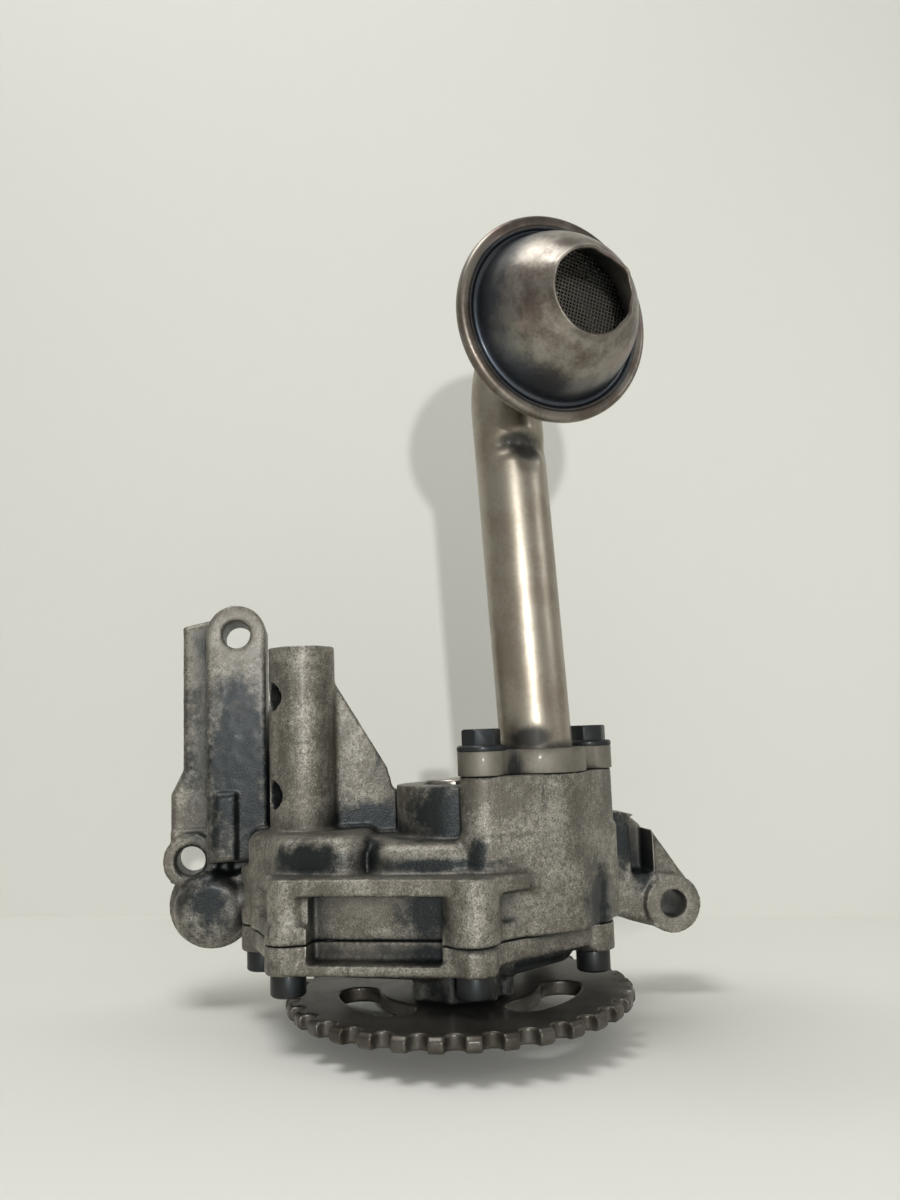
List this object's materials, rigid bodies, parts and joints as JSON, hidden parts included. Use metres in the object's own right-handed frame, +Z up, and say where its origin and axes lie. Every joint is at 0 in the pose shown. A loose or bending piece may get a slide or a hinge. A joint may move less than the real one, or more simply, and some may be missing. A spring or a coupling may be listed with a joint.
{
  "type": "engine oil pump",
  "caption": "Chain-driven gerotor engine oil pump in a cast housing with mounting ears, relief valve tower and a bent suction pipe with a hooded strainer.",
  "frame": {"origin": "middle of the drive sprocket, on the drive shaft's axis", "axes": "+Z up the drive shaft towards the strainer, +Y at the engine block, +X right"},
  "size_m": [0.179, 0.1238, 0.2312],
  "materials": {
    "cast_housing": "rough sand-cast aluminium with an oil film",
    "cast_cover": "die-cast aluminium with an oil film",
    "blued_steel": "blue-black oxide with an oil film",
    "pipe_steel": "drawn steel tube with brown heat tint",
    "strainer_steel": "pressed steel with heat tint",
    "machined_steel": "ground steel",
    "sprocket_steel": "case-hardened steel with varnish",
    "bush_bronze": "sintered bronze",
    "seal_rubber": "moulded rubber",
    "screen_wire": "woven wire"
  },
  "bodies": {
    "housing": {"pump_housing": "cast_housing", "pump_cover": "cast_cover", "cover_screws": "blued_steel", "cover_dowels": "machined_steel", "upper_bush": "bush_bronze", "lower_bush": "bush_bronze", "shaft_plug": "machined_steel", "outlet_seal": "seal_rubber", "suction_flange": "pipe_steel", "flange_bolts": "blued_steel", "suction_pipe": "pipe_steel", "suction_seal": "seal_rubber", "strainer_shell": "strainer_steel", "strainer_hood": "strainer_steel", "strainer_screen": "screen_wire", "relief_spring": "machined_steel", "relief_cap": "machined_steel", "relief_cap_seal": "seal_rubber", "relief_clip": "blued_steel"},
    "drive_line": {"drive_shaft": "machined_steel", "rotor_key": "machined_steel", "inner_rotor": "machined_steel", "drive_sprocket": "sprocket_steel", "sprocket_washer": "machined_steel", "sprocket_nut": "machined_steel"},
    "outer_rotor": {"outer_rotor": "machined_steel"},
    "relief_piston": {"relief_piston": "machined_steel"}
  },
  "joints": [
    {"name": "drive_spin", "type": "hinge", "parent": "housing", "child": "drive_line", "pos_m": [0, 0, 0], "axis": [0, 0, 1], "continuous": true},
    {"name": "outer_rotor_spin", "type": "hinge", "parent": "housing", "child": "outer_rotor", "pos_m": [0, 0.0022, 0.028], "axis": [0, 0, 1], "continuous": true},
    {"name": "relief_lift", "type": "slide", "parent": "housing", "child": "relief_piston", "axis": [0, 0, 1], "range_m": [0, 0.012], "stiffness_N_per_m": 2000, "springref_m": -0.004, "deforming": ["relief_spring"]}
  ],
  "couplings": [
    {"joint": "outer_rotor_spin", "follows": "drive_spin", "ratio": 0.85714}
  ]
}
